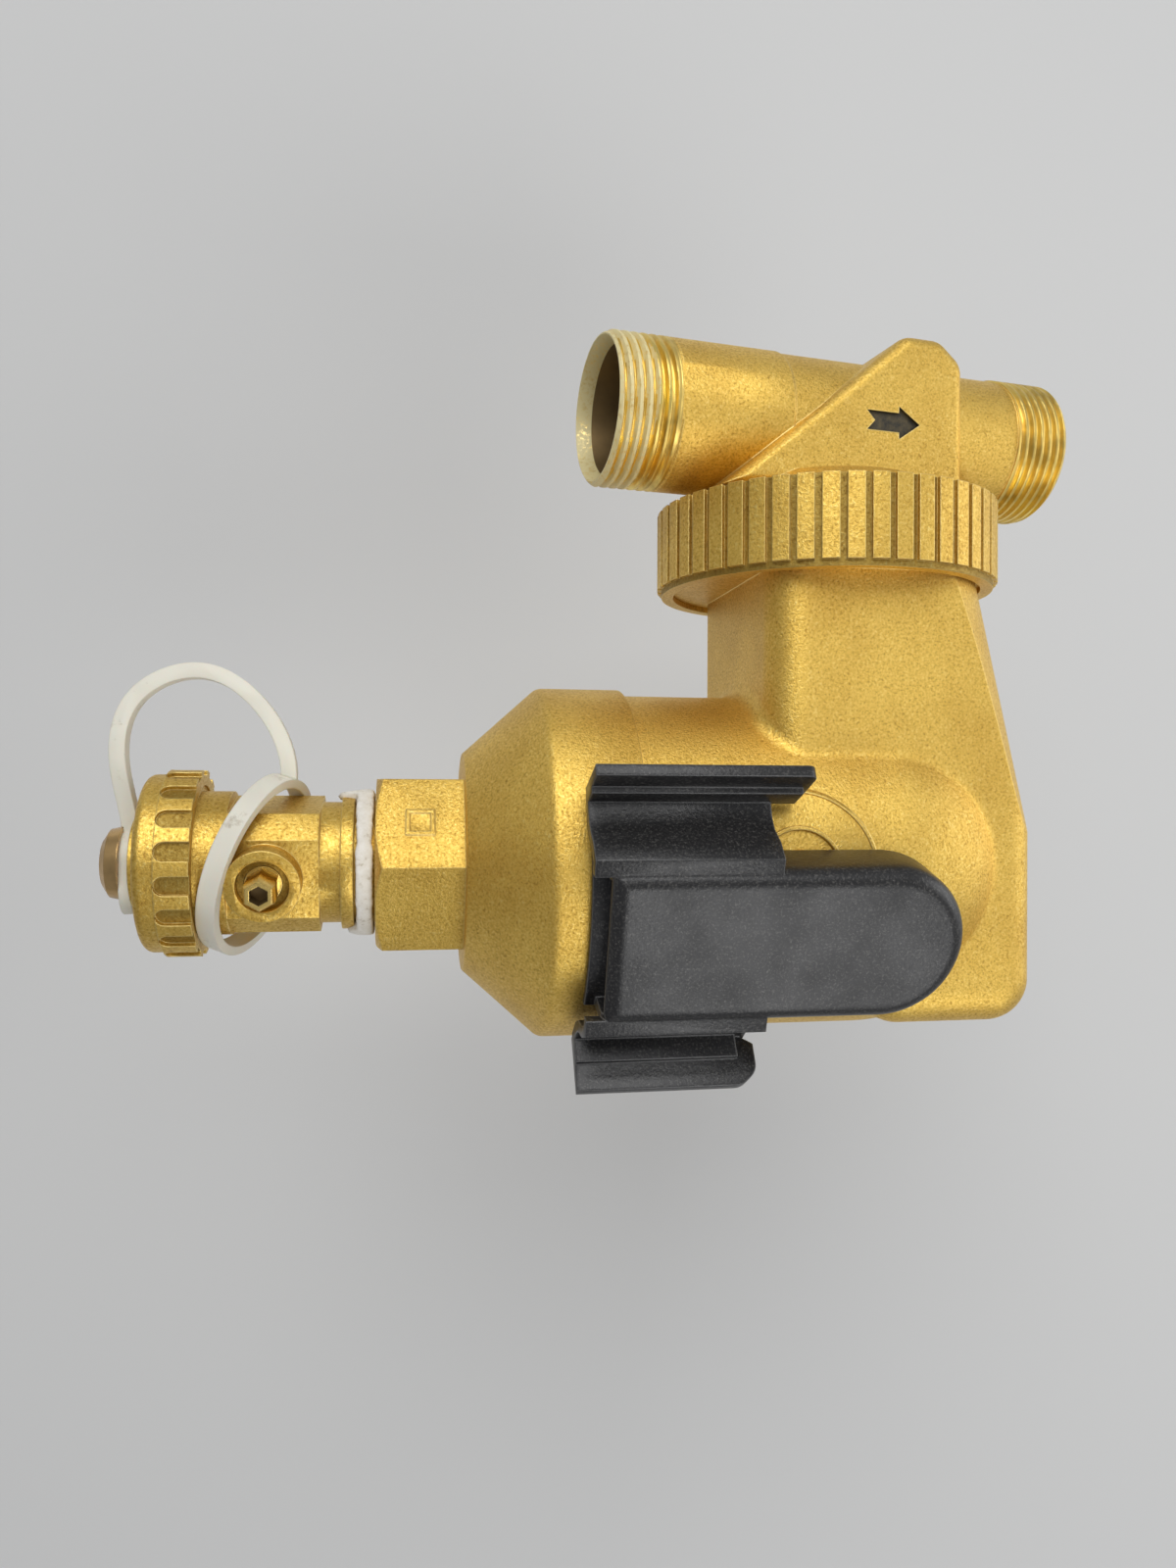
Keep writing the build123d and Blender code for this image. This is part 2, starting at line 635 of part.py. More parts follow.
def build_holder():
    """Magnet holder: a pocket with a back plate and two sprung arms with finger fins."""
    pocket = Pos(0, -pocket_face, 0) * pocket_block(pocket_half, pocket_start_z)
    rims = pocket.faces().sort_by(Axis.Y)[0].edges()
    pocket = fillet(rims, pocket_edge_r)
    hollow = pocket_block(pocket_half - pocket_wall, pocket_start_z - 5.0)
    pocket -= Pos(0, pocket_wall - pocket_face, 0) * hollow
    back_in_r = band_r + magnet_air_gap
    top_z = pocket_arc_z + pocket_half
    back = rod_z(back_in_r + back_thick, back_lip_z, top_z) - rod_z(back_in_r, back_lip_z, top_z)
    reach = Pos(0, -pocket_face, 0) * pocket_block(pocket_half, back_lip_z)
    holder = pocket - rod_z(back_in_r, back_lip_z - 10.0, top_z + 1.0) + (back & reach)
    arm_r = back_in_r + arm_gap + arm_thick / 2
    arm_top_y = -pocket_face + arm_thick
    for side in (1, -1):
        valley = holder_point(side, arm_r, valley_angle)
        tip = holder_point(side, arm_r, fin_angle)
        root = (side * (pocket_half - 1.0), arm_top_y)
        bend = (side * (pocket_half + 1.2), arm_top_y)
        drop = (side * (pocket_half + 2.6), arm_top_y + 2.4)
        low = (side * (pocket_half + 3.4), arm_top_y + 5.6)
        arm_line = Polyline(root, bend, drop, low, valley, tip)
        arm = extrude(trace(arm_line, arm_thick), amount=arm_end_z - arm_start_z)
        holder += Pos(0, 0, arm_start_z) * arm
        fin_root = holder_point(side, arm_r - arm_thick / 4, fin_angle)
        fin_line = Polyline(fin_root, holder_point(side, arm_r + fin_len, fin_angle))
        fin_end = short_fin_end_z if side > 0 else long_fin_end_z
        fin = extrude(trace(fin_line, arm_thick), amount=fin_end - arm_start_z)
        holder += Pos(0, 0, arm_start_z) * fin
        rib_root = holder_point(side, arm_r, fin_angle - rib_angle)
        rib_line = Polyline(rib_root, holder_point(side, arm_r + rib_len, fin_angle - rib_angle))
        rib = extrude(trace(rib_line, arm_thick), amount=fin_end - rib_step - arm_start_z)
        holder += Pos(0, 0, arm_start_z) * rib
    return holder_place * (holder - rod_z(back_in_r, back_lip_z - 10.0, top_z + 1.0))


def build_keeper():
    """Steel plate behind the magnets."""
    y0 = pocket_wall - pocket_face
    length = pocket_arc_z - pocket_start_z
    keeper = Box(2 * keeper_half, keeper_thick, length)
    return holder_place * Pos(0, y0 + keeper_thick / 2, pocket_start_z + keeper_start + length / 2) * keeper


def build_magnet(index):
    """One block magnet on the keeper plate."""
    y0 = pocket_wall - pocket_face + keeper_thick
    z0 = pocket_start_z + keeper_start + magnet_gap + index * (magnet_len + magnet_gap)
    magnet = Box(2 * (keeper_half - magnet_inset), magnet_thick, magnet_len)
    return holder_place * Pos(0, y0 + magnet_thick / 2, z0 + magnet_len / 2) * magnet


nodes["pipe_tee"] = tee_place * build_tee()
nodes["split_ring"] = build_split_ring()
nodes["swivel_seal"] = build_swivel_seal()
nodes["ring_nut"] = build_nut()
nodes["separator_body"] = build_body()
nodes["bottom_bowl"] = build_bowl()
nodes["bowl_seal"] = build_bowl_seal()
nodes["mesh_insert"] = build_cage()
nodes["flow_tube"] = build_flow_tube()
nodes["drain_cock_body"] = build_cock()
nodes["upper_seat"] = build_seat(1)
nodes["lower_seat"] = build_seat(-1)
nodes["seat_retainer"] = build_seat_nut()
nodes["drain_ball"] = build_ball()
nodes["spindle_gland"] = build_gland()
nodes["drain_spindle"] = build_spindle()
nodes["thread_tape"] = build_tape()
nodes["drain_cap"] = build_cap()
nodes["cap_washer"] = build_washer()
nodes["cap_rivet"] = build_rivet()
nodes["strap_collar"] = build_collar()
nodes["cap_strap"] = build_strap()
nodes["magnet_holder"] = build_holder()
nodes["keeper_plate"] = build_keeper()
for number in range(magnet_count):
    nodes[f"magnet_{number + 1}"] = build_magnet(number)

# The origin is the middle of the inlet mouth
turn = math.radians(tee_turn)
inlet_y = -tee_half_len * math.sin(turn)
inlet_z = nut_z - tee_half_len * math.cos(turn)
to_origin = Pos(tee_to_axis, -inlet_y, -inlet_z)

os.makedirs("parts", exist_ok=True)
for name, solid in nodes.items():
    placed = to_origin * solid
    placed.label = name
    export_step(placed, f"parts/{name}.step")
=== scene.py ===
"""Looks of the dirt separator: materials, threads, tape, fins, spindle, relief, strap, camera, light."""
import json
import math

import bmesh
import bpy
from mathutils import Matrix, Vector, noise


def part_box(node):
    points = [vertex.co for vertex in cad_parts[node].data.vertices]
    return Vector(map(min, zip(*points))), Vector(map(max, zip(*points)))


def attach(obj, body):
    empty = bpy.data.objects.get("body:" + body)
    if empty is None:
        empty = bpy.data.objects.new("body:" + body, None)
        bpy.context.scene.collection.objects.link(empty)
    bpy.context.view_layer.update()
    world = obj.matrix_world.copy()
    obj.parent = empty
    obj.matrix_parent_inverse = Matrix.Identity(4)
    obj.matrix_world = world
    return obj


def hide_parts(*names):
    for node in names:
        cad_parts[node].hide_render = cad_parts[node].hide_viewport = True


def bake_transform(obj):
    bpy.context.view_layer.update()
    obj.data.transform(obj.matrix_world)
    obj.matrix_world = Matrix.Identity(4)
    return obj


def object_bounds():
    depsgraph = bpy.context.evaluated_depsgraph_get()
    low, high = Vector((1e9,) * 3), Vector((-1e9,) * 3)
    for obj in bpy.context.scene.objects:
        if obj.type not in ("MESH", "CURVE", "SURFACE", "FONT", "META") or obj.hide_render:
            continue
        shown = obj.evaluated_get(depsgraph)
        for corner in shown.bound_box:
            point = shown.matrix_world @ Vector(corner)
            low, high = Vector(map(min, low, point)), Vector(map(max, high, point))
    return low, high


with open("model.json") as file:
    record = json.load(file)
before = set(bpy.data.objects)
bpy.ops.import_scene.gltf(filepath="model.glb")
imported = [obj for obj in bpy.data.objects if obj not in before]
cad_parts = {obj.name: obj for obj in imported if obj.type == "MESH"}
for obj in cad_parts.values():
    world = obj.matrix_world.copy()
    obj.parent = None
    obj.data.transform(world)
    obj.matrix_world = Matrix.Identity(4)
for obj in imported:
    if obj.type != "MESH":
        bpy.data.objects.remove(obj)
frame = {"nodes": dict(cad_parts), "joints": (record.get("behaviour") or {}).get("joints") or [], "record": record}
cad_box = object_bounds()
record = frame["record"]
MM = 0.001

# Places read from the frame
mounts = {mount["name"]: mount for mount in record["mounts"]}
joints = {joint["name"]: joint for joint in frame["joints"]}
inlet = Vector(mounts["inlet_thread"]["pos_m"])
outlet = Vector(mounts["outlet_thread"]["pos_m"])
tee_axis = (outlet - inlet).normalized()
tee_length = (outlet - inlet).length
thread_r = mounts["inlet_thread"]["dims"]["r_mm"] * MM
thread_len = mounts["inlet_thread"]["dims"]["length_mm"] * MM
body_axis = Vector(joints["cap_turn"]["pos_m"])
box_middle = (Vector(cad_box[0]) + Vector(cad_box[1])) / 2
along_x = Vector((1.0, 0.0, 0.0))
along_z = Vector((0.0, 0.0, 1.0))

# Thread ridges and mouth
thread_pitch = 1.7 * MM
thread_depth = 0.95 * MM
thread_lead = 1.3 * MM
lead_lift = 0.25 * MM
crest_flat = 1.35
mouth_r = 12.3 * MM
thread_turn_steps = 96
thread_pitch_steps = 12
residue_share = 0.58
residue_wave = 0.05
residue_depth = 0.72 * MM
flare_depth = 2.6 * MM
bore_r = 11.15 * MM
rim_slack = 0.02 * MM

# Cast sleeve with a sunk pad behind the inlet thread
tube_r = 12.9 * MM
sleeve_lift = 0.28 * MM
sleeve_end = 32.2 * MM
sleeve_slope = 0.5 * MM
sleeve_sink = 0.05 * MM
sleeve_steps = 120
pad_lift = 0.06 * MM
pad_end = 21.8 * MM
pad_low = math.radians(-17.0)
pad_high = math.radians(20.5)

# Sizes that pick faces for a finish, and for the painted shade in grooves and bores
body_r = 29.6 * MM
nut_r = 30.8 * MM
cap_lug_r = 15.8 * MM
cap_recess_z = -71.8 * MM
bore_limit = 11.3 * MM
groove_skip = 0.1 * MM
nut_groove = 1.2 * MM
cap_groove = 1.1 * MM
any_height = -1.0
raised_low = 0.2 * MM
raised_high = 0.4 * MM
weld_gap = 0.002 * MM
flat_degrees = 0.6

# Widths of rounded edges, where the mesh has room for them
holder_edge = 0.4 * MM
cock_edge = 0.3 * MM
bowl_edge = 0.4 * MM
strap_edge = 0.35 * MM

# Thread tape: flat section, waves of its edge, and the angle, spread and length of each torn end
tape_thick = 2.3 * MM
tape_inset = 0.15 * MM
tape_flatness = 0.45
tape_height_share = 0.39
tape_steps = 240
tape_section_steps = 20
swell_scale = 4.0
fray_scale = 13.0
ripple_scale = 26.0
ripple_step = 1.3
fray_shift = 3.0
thick_share = 0.90
swell_thick = 0.10
ripple_thick = 0.03
swell_edge = 0.20
fray_edge = 0.12
ripple_edge = 0.05
tape_wisps = [(3.32, 0.11, 3.4 * MM), (6.02, 0.20, 1.6 * MM)]

# Spindle: stem, slim hexagon with a chamfered and hollow end, measured out from the body axis
stem_r = 3.0 * MM
stem_start = 7.0 * MM
stem_end = 12.65 * MM
hex_half = 2.4 * MM
hex_end = 18.3 * MM
hex_tip = 19.0 * MM
hex_tip_half = 2.05 * MM
hollow_half = 1.4 * MM
hollow_floor = 16.4 * MM
hex_steps = 48

# Finger fins of the holder: angles about the body axis from the front, runs out from it, heights
upper_fin_angle = math.radians(-22.0)
upper_fin_end = 28.4 * MM
lower_fin_angle = math.radians(58.0)
lower_fin_end = 21.2 * MM
lower_rib_end = 20.2 * MM
fin_root_r = 32.0 * MM
fin_rows = [35.2 * MM, 39.85 * MM]
fin_tip_r = 42.05 * MM
fin_half = 0.95 * MM
fin_slack = 0.05 * MM
root_growth = 1.2 * MM
rib_growth = 1.2 * MM
fin_growth = 3.4 * MM
tip_growth = 0.6 * MM
corner_steps = 4
lower_corner = 1.3 * MM
lower_tip_corner = 0.9 * MM
upper_tip_corner = 1.5 * MM
cut_slack = 0.001 * MM

# Raised rings on the body's round relief
relief_rings = [12.8 * MM, 6.9 * MM, 3.0 * MM]
relief_z = 29.0 * MM
relief_width = 1.1 * MM
relief_top = 0.62 * MM
relief_sink = 0.2 * MM
relief_steps = 96

# Flow arrow on the wedge's flat face
tee_front = tee_axis.cross(along_x).normalized()
tee_front = -tee_front if tee_front.y > 0 else tee_front
wedge_face = 14.4 * MM
arrow_floor = 13.8 * MM
arrow_run = 50.4 * MM
arrow_side = 1.6 * MM
arrow_half_len = 5.4 * MM
arrow_half_width = 3.0 * MM
arrow_slack = 0.05 * MM

# Shading turns sharp above these angles
tee_sharp = 32.0
spindle_sharp = 32.0
relief_sharp = 60.0
never_sharp = 180.0

# Material indices: of the tee, of the spindle, and of a finish added to a node
cast_index, thread_index, paint_index, residue_index, bore_index = range(5)
metal_index, hollow_index = range(2)
added_index = 1

# Colours of the finishes
brass_pit = (0.46, 0.26, 0.045)
brass_dull = (0.78, 0.51, 0.100)
brass_even = (0.88, 0.60, 0.135)
brass_bright = (0.98, 0.78, 0.28)
# Edge colour of the brass: wear, and a painted highlight along the rounded edges
brass_edge_wear_and_highlight = (0.98, 0.77, 0.29)
brass_turned = (0.88, 0.63, 0.20)
brass_thread = (0.90, 0.66, 0.19)
brass_copper = (0.64, 0.42, 0.18)
# Painted shade inside the tee's bores and the spindle's hollow end
bore_shade_brown = (0.22, 0.145, 0.06)
tarnished = (0.86, 0.82, 0.76)
untarnished = (1.0, 1.0, 1.0)
residue_pale = (0.76, 0.65, 0.33)
plastic_dark = (0.0065, 0.0062, 0.0064)
plastic_light = (0.014, 0.0135, 0.0138)
# Pale specks on the plastic: dust and a painted sheen; paler plastic edges: a painted highlight
plastic_dust_and_sheen = (0.115, 0.110, 0.100)
plastic_edge_highlight = (0.15, 0.15, 0.148)
strap_shade = (0.66, 0.63, 0.53)
strap_light = (0.80, 0.78, 0.67)
strap_dirt = (0.30, 0.23, 0.13)
tape_fold = (0.50, 0.44, 0.34)
tape_shade = (0.76, 0.72, 0.63)
tape_light = (0.85, 0.82, 0.75)
paint_dark = (0.018, 0.016, 0.010)
paint_rubbed = (0.10, 0.075, 0.03)
rubber_black = (0.03, 0.03, 0.03)
seat_white = (0.82, 0.82, 0.80)
insert_grey = (0.20, 0.20, 0.21)
steel_grey = (0.55, 0.55, 0.56)
magnet_grey = (0.35, 0.35, 0.36)
table_grey = (0.60, 0.60, 0.59)
sky_blue = (0.92, 0.94, 1.0)

# Shares of a base colour in its dark and bright patches
tarnish_share = 0.62
shine_share = 1.2
cloud_share = 0.8

# Turn of the rounded normal at which an edge's wear and painted highlight start, and at which they are full
edge_wear_highlight_start = 0.995
edge_wear_highlight_full = 0.90
bevel_samples = 6

# Fine grain of the castings against the coarse one
fine_scale = 2.7
fine_bump = 0.5


def new_object(name, mesh):
    """Links a mesh into the scene as a new object."""
    piece = bpy.data.objects.new(name, mesh)
    bpy.context.scene.collection.objects.link(piece)
    return piece


def smooth_by_angle(mesh, degrees):
    """Smooth shading that keeps edges sharper than the angle."""
    for polygon in mesh.polygons:
        polygon.use_smooth = True
    bm = bmesh.new()
    bm.from_mesh(mesh)
    limit = math.radians(degrees)
    for edge in bm.edges:
        edge.smooth = len(edge.link_faces) == 2 and edge.calc_face_angle(0.0) < limit
    bm.to_mesh(mesh)
    bm.free()


def mesh_from(bm, name, materials, degrees):
    """Turns a bmesh into a mesh with its materials and smooth shading."""
    mesh = bpy.data.meshes.new(name)
    bm.to_mesh(mesh)
    bm.free()
    for material in materials:
        mesh.materials.append(material)
    smooth_by_angle(mesh, degrees)
    return mesh


def band_faces(bm, lower, upper):
    """Faces of the band between two rings, in order round it."""
    faces = []
    for index in range(len(lower)):
        after = (index + 1) % len(lower)
        faces.append(bm.faces.new((lower[index], lower[after], upper[after], upper[index])))
    return faces


def tube_faces(bm, sections):
    """Adds the faces of a closed tube that runs through its closed sections."""
    for section, after in zip(sections, sections[1:] + sections[:1]):
        for step in range(len(section)):
            following = (step + 1) % len(section)
            bm.faces.new((section[step], after[step], after[following], section[following]))


def tinted(colour, share):
    """A share of a colour, with no channel above 1."""
    return tuple(min(channel * share, 1.0) for channel in colour)


def node_tree(name):
    """A fresh material with its nodes, links and shader."""
    material = bpy.data.materials.new(name)
    material.use_nodes = True
    nodes = material.node_tree.nodes
    links = material.node_tree.links
    return material, nodes, links, nodes["Principled BSDF"]


def add_noise(nodes, links, coords, scale, detail=2.0, rough=0.5):
    """Noise over the object's own coordinates; the scale is in cycles per metre."""
    texture = nodes.new("ShaderNodeTexNoise")
    texture.inputs["Scale"].default_value = scale
    texture.inputs["Detail"].default_value = detail
    texture.inputs["Roughness"].default_value = rough
    links.new(coords, texture.inputs["Vector"])
    return texture.outputs["Fac"]


def add_ramp(nodes, links, value, stops):
    """Colour ramp from (position, colour) stops."""
    ramp = nodes.new("ShaderNodeValToRGB")
    elements = ramp.color_ramp.elements
    while len(elements) < len(stops):
        elements.new(0.5)
    for element, (position, colour) in zip(elements, stops):
        element.position = position
        element.color = (*colour, 1.0)
    links.new(value, ramp.inputs["Fac"])
    return ramp.outputs["Color"]


def add_mix(nodes, links, factor, first, second, blend="MIX"):
    """Mix of two colours by a factor socket or number."""
    mix = nodes.new("ShaderNodeMix")
    mix.data_type = "RGBA"
    first_colour = mix.inputs[6]
    second_colour = mix.inputs[7]
    mix.blend_type = blend
    if isinstance(factor, float):
        mix.inputs[0].default_value = factor
    else:
        links.new(factor, mix.inputs[0])
    links.new(first, first_colour)
    if isinstance(second, tuple):
        second_colour.default_value = (*second, 1.0)
    else:
        links.new(second, second_colour)
    return mix.outputs[2]


def add_range(nodes, links, value, low, high, start=0.0, end=1.0):
    """Maps low..high of a value to start..end."""
    node = nodes.new("ShaderNodeMapRange")
    node.inputs["From Min"].default_value = low
    node.inputs["From Max"].default_value = high
    node.inputs["To Min"].default_value = start
    node.inputs["To Max"].default_value = end
    links.new(value, node.inputs["Value"])
    return node.outputs["Result"]


def add_bump(nodes, links, height, strength, distance, normal=None):
    """Bump from a height socket."""
    bump = nodes.new("ShaderNodeBump")
    bump.inputs["Strength"].default_value = strength
    bump.inputs["Distance"].default_value = distance
    links.new(height, bump.inputs["Height"])
    if normal is not None:
        links.new(normal, bump.inputs["Normal"])
    return bump.outputs["Normal"]


def add_bevel(nodes, radius):
    """Normal with edges rounded by the radius."""
    bevel = nodes.new("ShaderNodeBevel")
    bevel.samples = bevel_samples
    bevel.inputs["Radius"].default_value = radius
    return bevel.outputs["Normal"]


def object_coords(nodes):
    """Object coordinates, which here are the part's own frame."""
    return nodes.new("ShaderNodeTexCoord").outputs["Object"]


def edge_mask(nodes, links, radius):
    """Mask of the edges for wear and a painted highlight: where a rounded normal leaves the surface's own."""
    geometry = nodes.new("ShaderNodeNewGeometry")
    turn = nodes.new("ShaderNodeVectorMath")
    turn.operation = "DOT_PRODUCT"
    links.new(add_bevel(nodes, radius), turn.inputs[0])
    links.new(geometry.outputs["Normal"], turn.inputs[1])
    return add_range(nodes, links, turn.outputs["Value"], edge_wear_highlight_start, edge_wear_highlight_full)


def cast_brass(name, grain_scale, grain_bump, roughness, tint=1.0, edge_r=0.4 * MM):
    """Blasted casting: golden grains, darker pits, patches of tarnish, and brighter edges that are part wear and
    part painted highlight.
    """
    material, nodes, links, shader = node_tree(name)
    coords = object_coords(nodes)
    grain = add_noise(nodes, links, coords, scale=grain_scale, detail=3.0, rough=0.7)
    patch = add_noise(nodes, links, coords, scale=70.0, detail=4.0, rough=0.6)
    fine = add_noise(nodes, links, coords, scale=grain_scale * fine_scale, detail=1.0, rough=0.5)
    grains = add_ramp(nodes, links, grain, [
        (0.28, tinted(brass_pit, tint)), (0.45, tinted(brass_dull, tint)),
        (0.58, tinted(brass_even, tint)), (0.74, tinted(brass_bright, tint))])
    patches = add_ramp(nodes, links, patch, [(0.32, tarnished), (0.62, untarnished)])
    colour = add_mix(nodes, links, 1.0, grains, patches, "MULTIPLY")
    # Brighter edges: wear, and a painted highlight along the rounded edges
    edge_wear_and_highlight = edge_mask(nodes, links, radius=edge_r)
    colour = add_mix(nodes, links, edge_wear_and_highlight, colour, tinted(brass_edge_wear_and_highlight, tint))
    links.new(colour, shader.inputs["Base Color"])
    shader.inputs["Metallic"].default_value = 0.85
    sheen = add_range(nodes, links, grain, low=0.3, high=0.75, start=roughness + 0.12, end=roughness - 0.10)
    links.new(sheen, shader.inputs["Roughness"])
    rounded = add_bevel(nodes, radius=edge_r)
    coarse = add_bump(nodes, links, grain, strength=grain_bump, distance=0.25 * MM, normal=rounded)
    normal = add_bump(nodes, links, fine, strength=grain_bump * fine_bump, distance=0.1 * MM, normal=coarse)
    links.new(normal, shader.inputs["Normal"])
    return material


def machined_brass(name, base, roughness):
    """Turned brass: fine rings, light tarnish and a clear gloss."""
    material, nodes, links, shader = node_tree(name)
    coords = object_coords(nodes)
    lines = add_noise(nodes, links, coords, scale=2400.0, detail=2.0, rough=0.6)
    tarnish = add_noise(nodes, links, coords, scale=160.0, detail=3.0, rough=0.6)
    colour = add_ramp(nodes, links, tarnish, [
        (0.30, tinted(base, tarnish_share)), (0.52, base), (0.75, tinted(base, shine_share))])
    links.new(colour, shader.inputs["Base Color"])
    shader.inputs["Metallic"].default_value = 1.0
    sheen = add_range(nodes, links, tarnish, low=0.3, high=0.7,
                      start=roughness + 0.12, end=roughness - 0.04)
    links.new(sheen, shader.inputs["Roughness"])
    rounded = add_bevel(nodes, radius=0.2 * MM)
    normal = add_bump(nodes, links, lines, strength=0.12, distance=0.05 * MM, normal=rounded)
    links.new(normal, shader.inputs["Normal"])
    return material


def black_plastic(name):
    """Moulded black plastic with a fine grain, pale specks that are dust and a painted sheen, and a painted
    highlight on the edges.
    """
    material, nodes, links, shader = node_tree(name)
    coords = object_coords(nodes)
    grain = add_noise(nodes, links, coords, scale=1700.0, detail=2.0, rough=0.6)
    dust_and_sheen_noise = add_noise(nodes, links, coords, scale=2600.0, detail=3.0, rough=0.75)
    patch = add_noise(nodes, links, coords, scale=90.0, detail=3.0, rough=0.6)
    colour = add_ramp(nodes, links, patch, [(0.3, plastic_dark), (0.7, plastic_light)])
    # Pale specks: dust, and a painted sheen over the face
    dust_and_sheen_specks = add_range(nodes, links, dust_and_sheen_noise, low=0.52, high=0.78)
    colour = add_mix(nodes, links, dust_and_sheen_specks, colour, plastic_dust_and_sheen)
    # Paler edges: a painted highlight along the rounded edges
    edge_wear_and_highlight = edge_mask(nodes, links, radius=0.35 * MM)
    colour = add_mix(nodes, links, edge_wear_and_highlight, colour, plastic_edge_highlight)
    links.new(colour, shader.inputs["Base Color"])
    sheen = add_range(nodes, links, patch, low=0.3, high=0.7, start=0.44, end=0.30)
    links.new(sheen, shader.inputs["Roughness"])
    shader.inputs["Specular IOR Level"].default_value = 0.5
    rounded = add_bevel(nodes, radius=0.5 * MM)
    normal = add_bump(nodes, links, grain, strength=0.4, distance=0.15 * MM, normal=rounded)
    links.new(normal, shader.inputs["Normal"])
    return material


def white_strap(name):
    """Moulded off-white strap with brown dirt in places."""
    material, nodes, links, shader = node_tree(name)
    coords = object_coords(nodes)
    dirt = add_noise(nodes, links, coords, scale=230.0, detail=5.0, rough=0.7)
    soft = add_noise(nodes, links, coords, scale=60.0, detail=2.0, rough=0.5)
    clean = add_ramp(nodes, links, soft, [(0.3, strap_shade), (0.7, strap_light)])
    spots = add_range(nodes, links, dirt, low=0.60, high=0.74, start=0.0, end=0.75)
    links.new(add_mix(nodes, links, spots, clean, strap_dirt), shader.inputs["Base Color"])
    shader.inputs["Roughness"].default_value = 0.5
    shader.inputs["Subsurface Weight"].default_value = 0.12
    shader.inputs["Subsurface Scale"].default_value = 1.0 * MM
    rounded = add_bevel(nodes, radius=0.35 * MM)
    normal = add_bump(nodes, links, dirt, strength=0.15, distance=0.1 * MM, normal=rounded)
    links.new(normal, shader.inputs["Normal"])
    return material


def fibrous_tape(name):
    """Thread tape: white strands with grey folds."""
    material, nodes, links, shader = node_tree(name)
    coords = object_coords(nodes)
    strands = add_noise(nodes, links, coords, scale=700.0, detail=4.0, rough=0.7)
    colour = add_ramp(nodes, links, strands, [(0.28, tape_fold), (0.42, tape_shade), (0.65, tape_light)])
    links.new(colour, shader.inputs["Base Color"])
    shader.inputs["Roughness"].default_value = 0.8
    links.new(add_bump(nodes, links, strands, strength=0.25, distance=0.2 * MM), shader.inputs["Normal"])
    return material


def plain_finish(name, base, roughness, metallic):
    """Inner pieces: a base colour with slight cloudiness."""
    material, nodes, links, shader = node_tree(name)
    coords = object_coords(nodes)
    cloud = add_noise(nodes, links, coords, scale=250.0, detail=3.0, rough=0.6)
    colour = add_ramp(nodes, links, cloud, [(0.3, tinted(base, cloud_share)), (0.7, base)])
    links.new(colour, shader.inputs["Base Color"])
    shader.inputs["Roughness"].default_value = roughness
    shader.inputs["Metallic"].default_value = metallic
    links.new(add_bump(nodes, links, cloud, strength=0.1, distance=0.1 * MM), shader.inputs["Normal"])
    return material


def arrow_paint(name):
    """Dark paint in the flow arrow, rubbed thin in places."""
    material, nodes, links, shader = node_tree(name)
    coords = object_coords(nodes)
    rub = add_noise(nodes, links, coords, scale=900.0, detail=3.0, rough=0.7)
    colour = add_ramp(nodes, links, rub, [(0.35, paint_dark), (0.75, paint_rubbed)])
    links.new(colour, shader.inputs["Base Color"])
    shader.inputs["Roughness"].default_value = 0.6
    links.new(add_bump(nodes, links, rub, strength=0.3, distance=0.1 * MM), shader.inputs["Normal"])
    return material


def thread_residue(name, base):
    """Brass thread with pale dried sealant on it."""
    material, nodes, links, shader = node_tree(name)
    coords = object_coords(nodes)
    cover = add_noise(nodes, links, coords, scale=1500.0, detail=3.0, rough=0.6)
    tarnish = add_noise(nodes, links, coords, scale=160.0, detail=3.0, rough=0.6)
    metal = add_ramp(nodes, links, tarnish, [(0.3, tinted(base, tarnish_share)), (0.6, base)])
    mask = add_range(nodes, links, cover, low=0.18, high=0.50)
    links.new(add_mix(nodes, links, mask, metal, residue_pale), shader.inputs["Base Color"])
    bare = add_range(nodes, links, mask, low=0.0, high=1.0, start=1.0, end=0.1)
    links.new(bare, shader.inputs["Metallic"])
    sheen = add_range(nodes, links, mask, low=0.0, high=1.0, start=0.22, end=0.5)
    links.new(sheen, shader.inputs["Roughness"])
    links.new(add_bump(nodes, links, cover, strength=0.3, distance=0.1 * MM), shader.inputs["Normal"])
    return material


